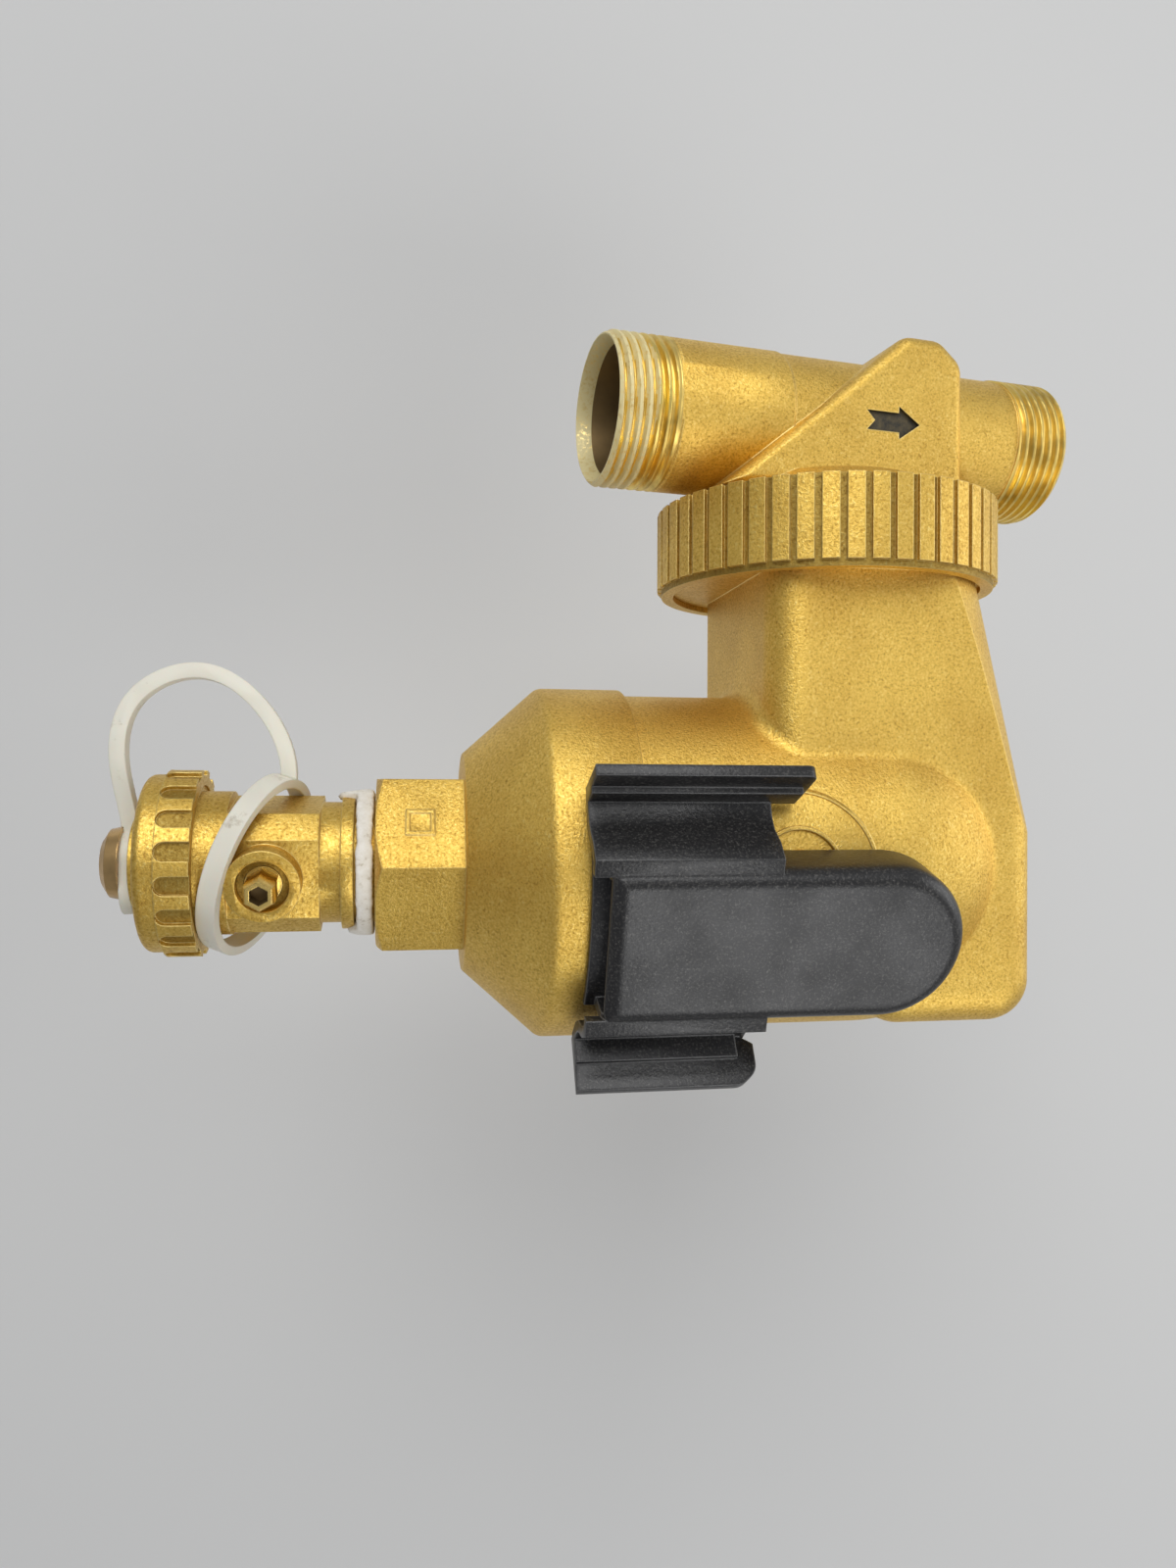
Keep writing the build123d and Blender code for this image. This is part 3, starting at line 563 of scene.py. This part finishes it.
finishes = {
    "cast_brass": cast_brass("cast_brass", grain_scale=2300.0, grain_bump=0.55, roughness=0.42),
    "nut_brass": cast_brass("nut_brass", grain_scale=2000.0, grain_bump=0.50, roughness=0.44,
                            tint=0.95, edge_r=0.25 * MM),
    "rubbed_brass": cast_brass("rubbed_brass", grain_scale=2300.0, grain_bump=0.35, roughness=0.34,
                               tint=1.02),
    # Darker brass: painted shade in the ring nut's grooves and the drain cap's recesses; the spindle gland is in
    # this darker brass all over
    "groove_brass": cast_brass("groove_brass", grain_scale=2000.0, grain_bump=0.40, roughness=0.50,
                               tint=0.46, edge_r=0.2 * MM),
    "cock_brass": cast_brass("cock_brass", grain_scale=1900.0, grain_bump=0.40, roughness=0.40,
                             tint=0.88, edge_r=0.3 * MM),
    "machined_brass": machined_brass("machined_brass", base=brass_turned, roughness=0.22),
    "thread_brass": machined_brass("thread_brass", base=brass_thread, roughness=0.36),
    "copper_brass": machined_brass("copper_brass", base=brass_copper, roughness=0.26),
    "black_plastic": black_plastic("black_plastic"),
    "white_strap": white_strap("white_strap"),
    "white_tape": fibrous_tape("white_tape"),
    "seal_rubber": plain_finish("seal_rubber", base=rubber_black, roughness=0.7, metallic=0.0),
    "seat_plastic": plain_finish("seat_plastic", base=seat_white, roughness=0.45, metallic=0.0),
    "insert_plastic": plain_finish("insert_plastic", base=insert_grey, roughness=0.5, metallic=0.0),
    "steel": plain_finish("steel", base=steel_grey, roughness=0.35, metallic=1.0),
    "magnet_metal": plain_finish("magnet_metal", base=magnet_grey, roughness=0.3, metallic=1.0),
}
arrow_finish = arrow_paint("arrow_paint")
residue_finish = thread_residue("thread_residue", base=brass_turned)
# Painted shade inside the tee's bores and in the spindle's hollow end
bore_shade_finish = plain_finish("bore_painted_shade", base=bore_shade_brown, roughness=0.5, metallic=0.75)
special_finish = {"ring_nut": "nut_brass", "drain_cock_body": "cock_brass", "drain_cap": "cock_brass",
                  "spindle_gland": "groove_brass"}
node_slot = {part["node"]: part["material_slot"] for part in record["subparts"]}
node_body = {node: body for body, members in record["behaviour"]["bodies"].items() for node in members}


def finish_of(node):
    """Material of a node: its own where it has one, or its slot's."""
    return finishes[special_finish.get(node, node_slot[node])]


for node, piece in frame["nodes"].items():
    piece.data.materials.clear()
    piece.data.materials.append(finish_of(node))


def paint_groove_shade(node, axis_place, axis, outer_r, inner_r, lowest_z):
    """Puts the darker finish, a painted shade, on faces between two radii of an axis and above a height."""
    mesh = frame["nodes"][node].data
    mesh.materials.append(finishes["groove_brass"])
    for polygon in mesh.polygons:
        spots = [mesh.vertices[index].co - axis_place for index in polygon.vertices]
        radii = [(spot - axis * spot.dot(axis)).length for spot in spots]
        lowest = min(mesh.vertices[index].co.z for index in polygon.vertices)
        if max(radii) < outer_r and min(radii) > inner_r and lowest > lowest_z:
            polygon.material_index = added_index


# Painted shade in the ring nut's grooves and on the floors of the drain cap's recesses
nut_axis_place = Vector(joints["nut_turn"]["pos_m"])
paint_groove_shade("ring_nut", nut_axis_place, along_x, nut_r - groove_skip, nut_r - nut_groove, any_height)
paint_groove_shade("drain_cap", body_axis, along_z, cap_lug_r - groove_skip, cap_lug_r - cap_groove,
               cap_recess_z)


def brighten_relief(node, axis_place, low_r, high_r):
    """Puts the rubbed finish on a casting's raised faces between two radii of the body axis."""
    mesh = frame["nodes"][node].data
    mesh.materials.append(finishes["rubbed_brass"])
    for polygon in mesh.polygons:
        radii = [(mesh.vertices[index].co - axis_place).to_2d().length for index in polygon.vertices]
        if min(radii) > low_r and max(radii) < high_r:
            polygon.material_index = added_index


brighten_relief("separator_body", body_axis, body_r + raised_low, body_r + raised_high)


def welded_copy(node):
    """Copy of a node's mesh as bmesh with its split vertices joined."""
    bm = bmesh.new()
    bm.from_mesh(frame["nodes"][node].data)
    bmesh.ops.remove_doubles(bm, verts=bm.verts, dist=weld_gap)
    return bm


def stand_for(name, mesh, node):
    """Makes a mesh the visible piece of a node."""
    piece = new_object(name, mesh)
    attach(piece, node_body[node])
    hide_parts(node)


def thread_radius(run, turn):
    """Radius of the thread at a distance from the mouth and a turn in circles."""
    ridge = 0.5 - 0.5 * math.cos(2 * math.pi * (run / thread_pitch - turn))
    radius = thread_r - thread_depth * (1.0 - min(1.0, crest_flat * ridge))
    lead = mouth_r + lead_lift + (thread_r - mouth_r) * min(1.0, run / thread_lead)
    out = thread_r - thread_depth * max(0.0, min(1.0, (thread_len - run) / thread_pitch))
    return max(min(radius, lead), out if run > thread_len - thread_pitch else 0.0)


def add_thread(bm, mouth, inward, crest_index, bare_index):
    """Adds a helical thread from a mouth inward along the tee, with coated crests near the mouth."""
    side = inward.orthogonal().normalized()
    other = inward.cross(side)
    run_steps = round(thread_len / thread_pitch * thread_pitch_steps)
    rows = []
    for step in range(-1, run_steps + 1):
        run = max(step, 0) / run_steps * thread_len
        ring = []
        for index in range(thread_turn_steps):
            turn = index / thread_turn_steps
            radius = mouth_r if step < 0 else thread_radius(run, turn)
            angle = 2 * math.pi * turn
            spot = mouth + inward * run + radius * (math.cos(angle) * side + math.sin(angle) * other)
            ring.append(bm.verts.new(spot))
        rows.append(ring)
    for number, (lower, upper) in enumerate(zip(rows, rows[1:])):
        for index, face in enumerate(band_faces(bm, lower, upper)):
            offset = face.calc_center_median() - mouth
            height = (offset - inward * offset.dot(inward)).length
            turn = index / thread_turn_steps
            edge = residue_share + residue_wave * math.sin(4 * math.pi * turn)
            coated = number < edge * run_steps and height > thread_r - residue_depth
            face.material_index = crest_index if coated or number == 0 else bare_index


def add_sleeve(bm):
    """Adds the slightly larger cast length of the tube, with its sunk pad."""
    upward = -along_x
    stations = [
        (thread_len, False, 0.0), (thread_len + sleeve_slope, True, sleeve_lift),
        (pad_end, True, sleeve_lift), (pad_end + sleeve_slope, False, sleeve_lift),
        (sleeve_end - sleeve_slope, False, sleeve_lift), (sleeve_end, False, 0.0)]
    rows = []
    for run, has_pad, lift in stations:
        ring = []
        for index in range(sleeve_steps):
            angle = 2 * math.pi * index / sleeve_steps - math.pi
            in_pad = has_pad and pad_low < angle < pad_high
            radius = tube_r - sleeve_sink if lift == 0.0 else tube_r + (pad_lift if in_pad else lift)
            direction = tee_front * math.cos(angle) + upward * math.sin(angle)
            ring.append(bm.verts.new(inlet + tee_axis * run + direction * radius))
        rows.append(ring)
    for lower, upper in zip(rows, rows[1:] + rows[:1]):
        band_faces(bm, lower, upper)


def in_end_skin(runs, radii):
    """Whether a face lies in the skin of a threaded end: its thread, mouth, flare or end step."""
    on_thread = max(runs) < thread_len + rim_slack and min(radii) > thread_r - rim_slack
    on_step = max(abs(run - thread_len) for run in runs) < rim_slack and min(radii) > tube_r - rim_slack
    in_flare = max(runs) < flare_depth + rim_slack
    return on_thread or on_step or in_flare


def rim_edges(bm, mouth, inward, run, radius):
    """Open edges round an end of the tee, at a distance from its mouth and a radius."""
    found = []
    for edge in bm.edges:
        spots = [vert.co - mouth for vert in edge.verts]
        off_run = max(abs(spot.dot(inward) - run) for spot in spots)
        off_radius = max(abs((spot - inward * spot.dot(inward)).length - radius) for spot in spots)
        if edge.is_boundary and off_run < rim_slack and off_radius < rim_slack:
            found.append(edge)
    return found


def join_rims(bm, mouth, inward, first, second, material_index):
    """Joins two open rims, each given by its distance from the mouth and its radius."""
    rims = rim_edges(bm, mouth, inward, *first) + rim_edges(bm, mouth, inward, *second)
    for face in bmesh.ops.bridge_loops(bm, edges=rims)["faces"]:
        face.material_index = material_index


def build_tee():
    """Tee with real thread ridges, a cast sleeve and a painted arrow."""
    bm = welded_copy("pipe_tee")
    spent = []
    for face in bm.faces:
        runs = [(vert.co - inlet).dot(tee_axis) for vert in face.verts]
        radii = [((vert.co - inlet) - tee_axis * run).length for vert, run in zip(face.verts, runs)]
        if in_end_skin(runs, radii) or in_end_skin([tee_length - run for run in runs], radii):
            spent.append(face)
    bmesh.ops.delete(bm, geom=spent, context="FACES")
    for face in bm.faces:
        spots = [vert.co - inlet for vert in face.verts]
        # Faces of the bores get the painted shade
        if max((spot - tee_axis * spot.dot(tee_axis)).length for spot in spots) < bore_limit:
            face.material_index = bore_index
        depths = [spot.dot(tee_front) for spot in spots]
        runs = [spot.dot(tee_axis) - arrow_run for spot in spots]
        sides = [spot.x - arrow_side for spot in spots]
        inside = max(map(abs, runs)) < arrow_half_len and max(map(abs, sides)) < arrow_half_width
        if inside and arrow_floor - arrow_slack < min(depths) < wedge_face - arrow_slack:
            face.material_index = paint_index
    for mouth, inward, crest_index in ((inlet, tee_axis, residue_index), (outlet, -tee_axis, thread_index)):
        add_thread(bm, mouth, inward, crest_index, thread_index)
        join_rims(bm, mouth, inward, (thread_len, thread_r), (thread_len, tube_r), thread_index)
        join_rims(bm, mouth, inward, (0.0, mouth_r), (flare_depth, bore_r), crest_index)
    add_sleeve(bm)
    bmesh.ops.recalc_face_normals(bm, faces=bm.faces)
    in_index_order = {cast_index: finishes["cast_brass"], thread_index: finishes["thread_brass"],
                      paint_index: arrow_finish, residue_index: residue_finish, bore_index: bore_shade_finish}
    mesh = mesh_from(bm, "tee_with_threads", in_index_order.values(), tee_sharp)
    stand_for("tee_with_threads", mesh, "pipe_tee")


def build_tape():
    """Frayed thread tape round the shank."""
    low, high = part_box("thread_tape")
    low = Vector(low)
    high = Vector(high)
    centre = (low + high) / 2
    outer = (high.x - low.x) / 2
    inner = outer - tape_thick
    half_height = tape_height_share * (high.z - low.z)
    bm = bmesh.new()
    sections = []
    for index in range(tape_steps):
        angle = 2 * math.pi * index / tape_steps
        direction = Vector((math.cos(angle), math.sin(angle), 0.0))
        swell = noise.noise(direction * swell_scale)
        fray = noise.noise(direction * fray_scale + along_x * fray_shift)
        torn = 0.0
        for wisp_angle, wisp_spread, wisp_len in tape_wisps:
            torn += wisp_len * max(0.0, 1.0 - abs(angle - wisp_angle) / wisp_spread)
        section = []
        for step in range(tape_section_steps):
            around_section = 2 * math.pi * step / tape_section_steps
            ripple = noise.noise(Vector((direction.x * ripple_scale, direction.y * ripple_scale,
                                         step * ripple_step)))
            half = (outer - inner) / 2 * (thick_share + swell_thick * swell + ripple_thick * ripple)
            middle = (outer + inner) / 2 - tape_inset
            bulge = math.cos(around_section)
            rise = math.sin(around_section)
            radius = middle + half * math.copysign(abs(bulge) ** tape_flatness, bulge)
            ragged = swell_edge * swell + fray_edge * fray + ripple_edge * ripple
            height = half_height * math.copysign(abs(rise) ** tape_flatness, rise) * (1.0 + ragged)
            height -= torn * max(0.0, -rise) ** 2
            section.append(bm.verts.new((centre.x + direction.x * radius, centre.y + direction.y * radius,
                                         centre.z + height)))
        sections.append(section)
    tube_faces(bm, sections)
    bmesh.ops.recalc_face_normals(bm, faces=bm.faces)
    mesh = mesh_from(bm, "frayed_tape", [finishes["white_tape"]], never_sharp)
    stand_for("frayed_tape", mesh, "thread_tape")


def fin_outward(angle):
    """Direction in which a finger fin stands out from the body axis."""
    return Vector((math.sin(angle), -math.cos(angle), 0.0))


def fin_run(angle, point):
    """Distance of a point out along a finger fin, and its distance aside from the fin's middle."""
    offset = point - body_axis
    aside = Vector((math.cos(angle), math.sin(angle), 0.0))
    return offset.dot(fin_outward(angle)), offset.dot(aside)


def round_corner(bm, angle, run, height, offset):
    """Rounds the corner of a finger fin that lies at a run and a height."""
    corner = []
    for edge in bm.edges:
        places = [(fin_run(angle, vert.co), vert.co.z) for vert in edge.verts]
        if all(abs(out - run) < fin_slack and abs(aside) < fin_half and abs(z - height) < fin_slack
               for (out, aside), z in places):
            corner.append(edge)
    bmesh.ops.bevel(bm, geom=corner, offset=offset, offset_type="OFFSET", segments=corner_steps,
                    profile=0.5, affect="EDGES", clamp_overlap=True)


def shape_fins(bm):
    """Lengthens the holder's lower fin as in the photo and rounds the free ends of both fins."""
    for run in fin_rows:
        plate = []
        for face in bm.faces:
            places = [fin_run(lower_fin_angle, vert.co) for vert in face.verts]
            if all(out > fin_root_r and abs(aside) < fin_half for out, aside in places):
                plate.append(face)
        edges = dict.fromkeys(edge for face in plate for edge in face.edges)
        verts = dict.fromkeys(vert for face in plate for vert in face.verts)
        outward = fin_outward(lower_fin_angle)
        bmesh.ops.bisect_plane(bm, geom=list(verts) + list(edges) + plate, dist=cut_slack,
                               plane_co=body_axis + outward * run, plane_no=outward)
    for vert in bm.verts:
        out, aside = fin_run(lower_fin_angle, vert.co)
        if out < fin_root_r:
            continue
        if abs(vert.co.z - lower_rib_end) < fin_slack:
            vert.co.z += rib_growth
        elif abs(vert.co.z - lower_fin_end) < fin_slack:
            growth = root_growth if out < fin_rows[0] - fin_slack else fin_growth
            vert.co.z += tip_growth if out > fin_rows[1] + fin_slack else growth
    round_corner(bm, lower_fin_angle, fin_rows[1], lower_fin_end + fin_growth, lower_corner)
    round_corner(bm, lower_fin_angle, fin_tip_r, lower_fin_end + tip_growth, lower_tip_corner)
    round_corner(bm, upper_fin_angle, fin_tip_r, upper_fin_end, upper_tip_corner)


def rounded_copy(name, node, width, segments=2, degrees=35.0):
    """Mesh of a node with its sharp edges rounded as far as its shortest edges let it."""
    bm = welded_copy(node)
    bmesh.ops.dissolve_limit(bm, angle_limit=math.radians(flat_degrees), verts=bm.verts, edges=bm.edges)
    if node == "magnet_holder":
        shape_fins(bm)
    limit = math.radians(degrees)
    sharp = [edge for edge in bm.edges if len(edge.link_faces) == 2 and edge.calc_face_angle(0.0) > limit]
    bmesh.ops.bevel(bm, geom=sharp, offset=width, offset_type="OFFSET", segments=segments, profile=0.5,
                    affect="EDGES", clamp_overlap=True)
    return mesh_from(bm, name, [finish_of(node)], degrees)


def build_spindle():
    """Drain spindle with a slim hexagon and a hollow end."""
    place = Vector(joints["drain_turn"]["pos_m"])
    outward = Vector(joints["drain_turn"]["axis"]).normalized()
    side = outward.cross(along_z).normalized()
    other = outward.cross(side)
    profile = [(stem_start, stem_r, False), (stem_end, stem_r, False), (stem_end, hex_half, True),
               (hex_end, hex_half, True), (hex_tip, hex_tip_half, True), (hex_tip, hollow_half, True),
               (hollow_floor, hollow_half, True)]
    bm = bmesh.new()
    rows = []
    for run, size, is_hex in profile:
        row = []
        for index in range(hex_steps):
            angle = 2 * math.pi * index / hex_steps
            in_side = angle % (math.pi / 3) - math.pi / 6
            radius = size / math.cos(in_side) if is_hex else size
            direction = side * math.cos(angle) + other * math.sin(angle)
            row.append(bm.verts.new(place + outward * run + direction * radius))
        rows.append(row)
    for lower, upper in zip(rows, rows[1:]):
        for face in band_faces(bm, lower, upper):
            # The hollow end gets the painted shade
            face.material_index = hollow_index if upper is rows[-1] else metal_index
    ends = [(rows[0], stem_start, metal_index), (rows[-1], hollow_floor, hollow_index)]
    for row, run, material_index in ends:
        centre = bm.verts.new(place + outward * run)
        for index in range(hex_steps):
            face = bm.faces.new((centre, row[index], row[(index + 1) % hex_steps]))
            face.material_index = material_index
    bmesh.ops.recalc_face_normals(bm, faces=bm.faces)
    mesh = mesh_from(bm, "hollow_spindle", [finish_of("drain_spindle"), bore_shade_finish], spindle_sharp)
    stand_for("hollow_spindle", mesh, "drain_spindle")


def build_relief():
    """Thin raised rings along the edges of the body's round relief."""
    bm = bmesh.new()
    for ring_r in relief_rings:
        section = [(-relief_width / 2, body_r - relief_sink), (-relief_width / 4, body_r + relief_top),
                   (relief_width / 4, body_r + relief_top), (relief_width / 2, body_r - relief_sink)]
        rows = []
        for index in range(relief_steps):
            angle = 2 * math.pi * index / relief_steps
            row = []
            for aside, height in section:
                across = (ring_r + aside) * math.cos(angle)
                along = relief_z + (ring_r + aside) * math.sin(angle)
                outward = -math.sqrt(height * height - across * across)
                row.append(bm.verts.new((body_axis.x + across, body_axis.y + outward, along)))
            rows.append(row)
        tube_faces(bm, rows)
    bmesh.ops.recalc_face_normals(bm, faces=bm.faces)
    mesh = mesh_from(bm, "relief_rings", [finishes["rubbed_brass"]], relief_sharp)
    piece = new_object("relief_rings", mesh)
    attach(piece, node_body["separator_body"])


def build_strap():
    """Strap loop between the collar and the cap, with rounded edges."""
    mesh = rounded_copy("strap_loop", "cap_strap", strap_edge)
    piece = new_object("strap_loop", mesh)
    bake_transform(piece)
    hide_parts("cap_strap")


build_tee()
build_tape()
build_spindle()
build_relief()
build_strap()
stand_for("rounded_holder", rounded_copy("rounded_holder", "magnet_holder", holder_edge), "magnet_holder")
stand_for("rounded_cock", rounded_copy("rounded_cock", "drain_cock_body", cock_edge), "drain_cock_body")
stand_for("rounded_bowl", rounded_copy("rounded_bowl", "bottom_bowl", bowl_edge), "bottom_bowl")

# Camera as in the photo: from the front, rolled so that the drain is on the left
photo_height = 1600.0
focal_px = 1136.7
sensor_mm = 36.0
nearest = 0.01
camera_place = Vector((66.46, -191.74, -33.29)) * MM
camera_right = Vector((-0.0049, -0.16506, 0.98627))
camera_up = Vector((-0.99998, -0.00324, -0.00551))

camera_data = bpy.data.cameras.new("camera")
camera_data.sensor_fit = "VERTICAL"
camera_data.sensor_height = sensor_mm
camera_data.lens = focal_px * sensor_mm / photo_height
camera_data.clip_start = nearest
camera = bpy.data.objects.new("camera", camera_data)
bpy.context.scene.collection.objects.link(camera)
right = camera_right.normalized()
up = (camera_up - right * camera_up.dot(right)).normalized()
back = right.cross(up)
rotation = Matrix((right, up, back)).transposed()
camera.matrix_world = Matrix.Translation(camera_place) @ rotation.to_4x4()
bpy.context.scene.camera = camera

# Pale table behind the object, seen only from its front
table_gap = 4.0 * MM
table_size = 3.0


def table_material():
    """Pale matt table that lets light and views from behind through."""
    material = bpy.data.materials.new("table")
    material.use_nodes = True
    nodes = material.node_tree.nodes
    links = material.node_tree.links
    nodes.clear()
    output = nodes.new("ShaderNodeOutputMaterial")
    matt = nodes.new("ShaderNodeBsdfDiffuse")
    matt.inputs["Color"].default_value = (*table_grey, 1.0)
    clear = nodes.new("ShaderNodeBsdfTransparent")
    geometry = nodes.new("ShaderNodeNewGeometry")
    mix = nodes.new("ShaderNodeMixShader")
    links.new(geometry.outputs["Backfacing"], mix.inputs["Fac"])
    links.new(matt.outputs["BSDF"], mix.inputs[1])
    links.new(clear.outputs["BSDF"], mix.inputs[2])
    links.new(mix.outputs["Shader"], output.inputs["Surface"])
    return material


def build_table():
    """Upright pale plane behind the object in the photo's view, clear of the body at any swivel."""
    swivel = Vector(joints["body_swivel"]["pos_m"])
    reach = swivel.z - cad_box[0][2] + max(joints["cap_slide"]["range_m"])
    far = swivel.y + reach + table_gap
    half = table_size / 2
    low_x = box_middle.x - half
    high_x = box_middle.x + half
    low_z = box_middle.z - half
    high_z = box_middle.z + half
    corners = [(low_x, far, low_z), (high_x, far, low_z), (high_x, far, high_z), (low_x, far, high_z)]
    mesh = bpy.data.meshes.new("table")
    mesh.from_pydata(corners, [], [(0, 1, 2, 3)])
    mesh.materials.append(table_material())
    table = new_object("table", mesh)


build_table()


def area_light(name, place, target, size, power):
    """Soft square lamp aimed at a point."""
    lamp = bpy.data.lights.new(name, "AREA")
    lamp.size = size
    lamp.energy = power
    fixture = bpy.data.objects.new(name, lamp)
    fixture.location = place
    direction = target - place
    fixture.rotation_euler = direction.to_track_quat("-Z", "Y").to_euler()
    bpy.context.scene.collection.objects.link(fixture)


# Lamps: name, place from the middle of the part, size and power
lamps = [
    ("key", (-0.55, -0.65, -0.1), 0.7, 5.2),
    ("fill", (0.52, -0.54, 0.24), 0.5, 2.2),
    ("top", (-0.1, -0.2, 0.7), 0.5, 1.6),
    ("rear", (-0.1, 0.7, 0.3), 0.6, 3.0),
]
for lamp_name, lamp_offset, lamp_size, lamp_power in lamps:
    area_light(lamp_name, box_middle + Vector(lamp_offset), box_middle, lamp_size, lamp_power)

# Faint light from all round
sky_strength = 0.3
world = bpy.data.worlds.new("studio")
bpy.context.scene.world = world
world.use_nodes = True
world.node_tree.nodes["Background"].inputs["Color"].default_value = (*sky_blue, 1.0)
world.node_tree.nodes["Background"].inputs["Strength"].default_value = sky_strength
bpy.context.scene.view_settings.view_transform = "Standard"
